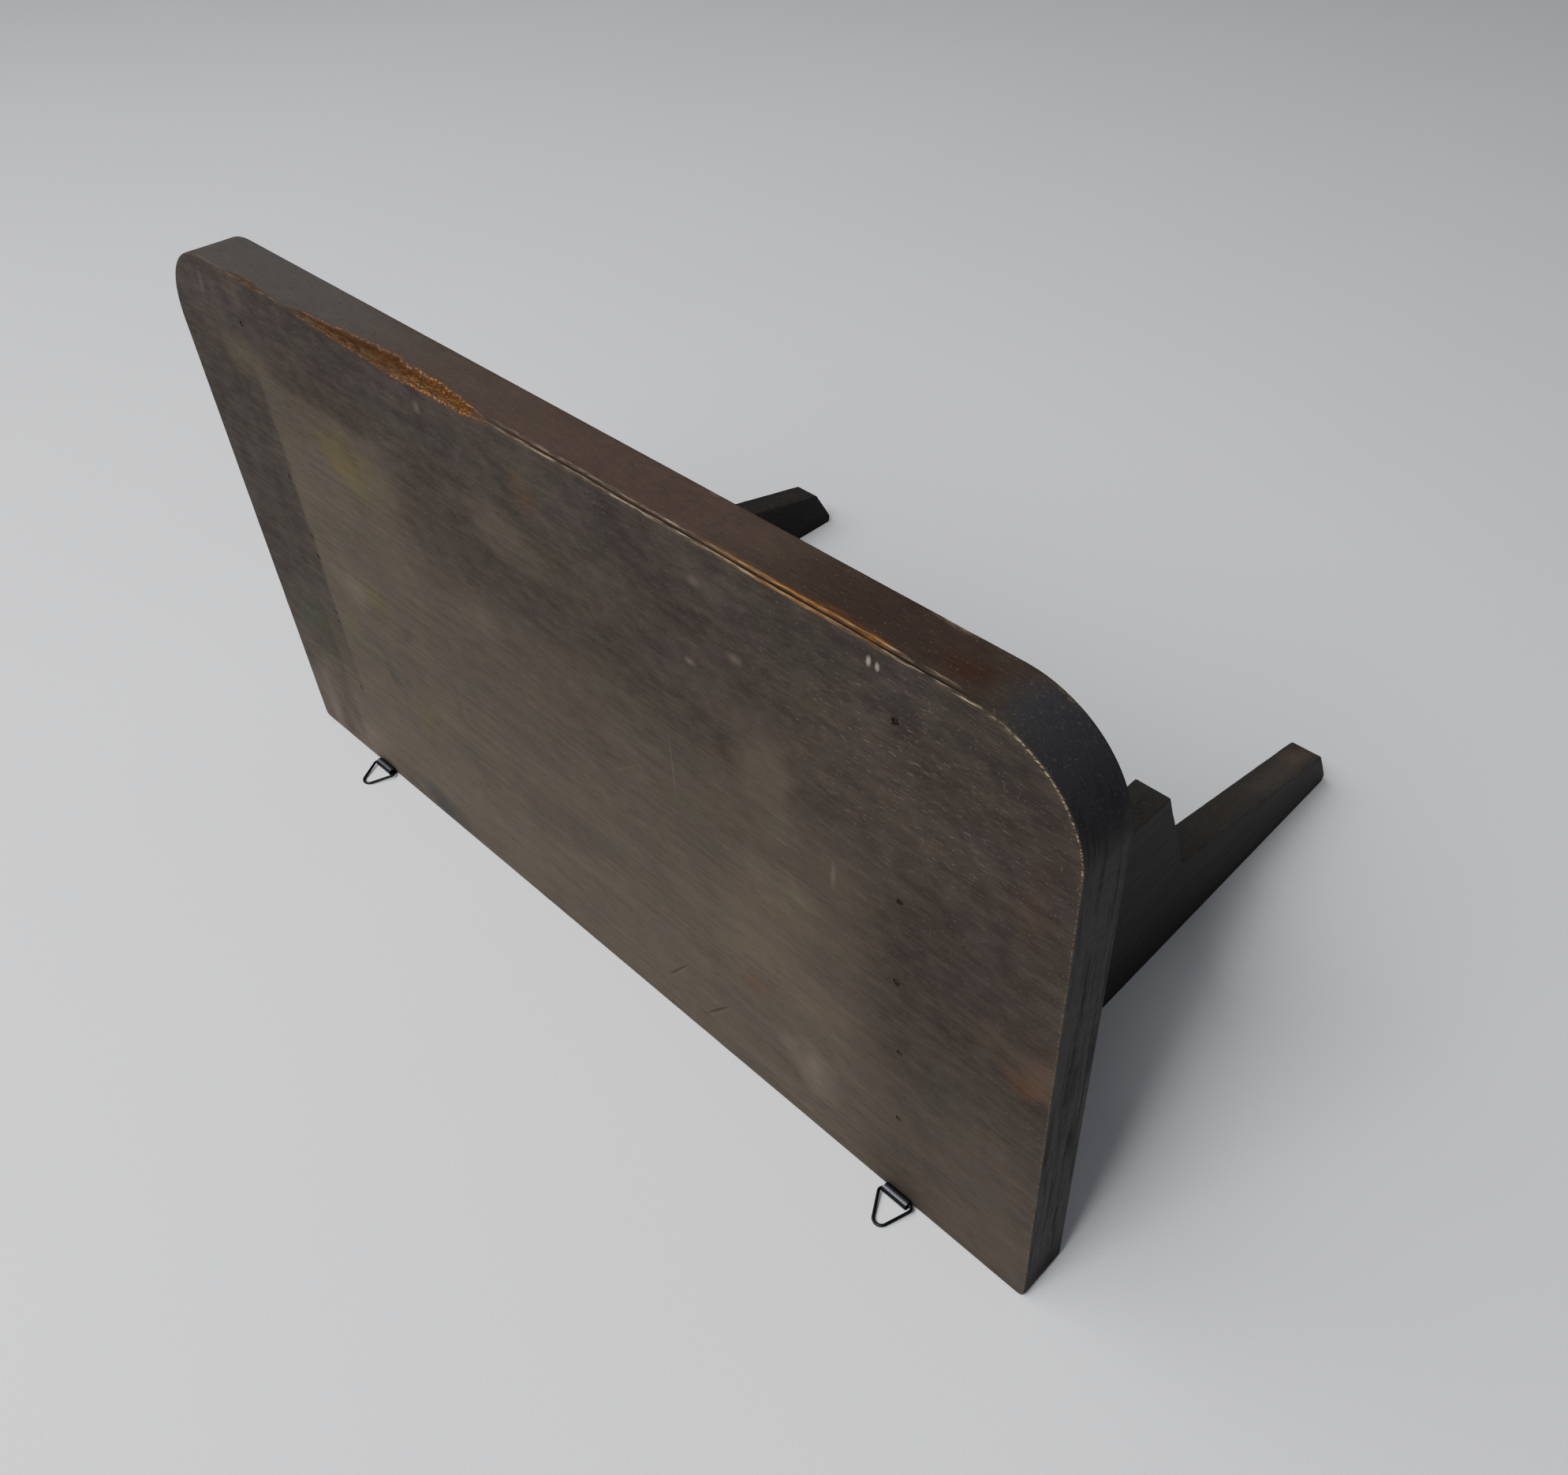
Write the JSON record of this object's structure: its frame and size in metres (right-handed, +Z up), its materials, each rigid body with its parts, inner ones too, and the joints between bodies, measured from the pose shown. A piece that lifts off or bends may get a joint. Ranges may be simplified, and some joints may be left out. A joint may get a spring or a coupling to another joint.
{
  "type": "wall shelf",
  "caption": "Small stained wooden shelf: a board with rounded corners on notched brackets, with triangular ring hangers, stood on its wall side as a stand.",
  "frame": {"origin": "bottom centre of the whole object's box, on the plane of its wall side, which is the floor as it stands", "axes": "+X along the board to its right end, +Y from the board towards the brackets' legs, +Z up from the wall side"},
  "size_m": [0.45, 0.3148, 0.252],
  "materials": {
    "board_wood": "dark stained pine, satin, worn to bare wood along the front arris",
    "bracket_wood": "dark stained, satin",
    "strap_steel": "blackened sheet, rubbed bright on the roll",
    "ring_wire": "blackened drawn wire",
    "fastener_steel": "dulled and rusted"
  },
  "bodies": {
    "shelf": {"shelf_board": "board_wood", "bracket_left": "bracket_wood", "bracket_right": "bracket_wood", "bracket_nails_left": "fastener_steel", "bracket_nails_right": "fastener_steel", "hanger_strap_left": "strap_steel", "hanger_strap_right": "strap_steel", "hanger_screws_left": "fastener_steel", "hanger_screws_right": "fastener_steel"},
    "ring_left": {"hanger_ring_left": "ring_wire"},
    "ring_right": {"hanger_ring_right": "ring_wire"}
  },
  "joints": [
    {"name": "ring_left_hinge", "type": "hinge", "parent": "shelf", "child": "ring_left", "pos_m": [-0.1668, -0.14443, 0.0019], "axis": [-1, 0, 0], "range_deg": [-115, 100]},
    {"name": "ring_right_hinge", "type": "hinge", "parent": "shelf", "child": "ring_right", "pos_m": [0.1678, -0.14443, 0.0019], "axis": [-1, 0, 0], "range_deg": [-115, 100]}
  ]
}
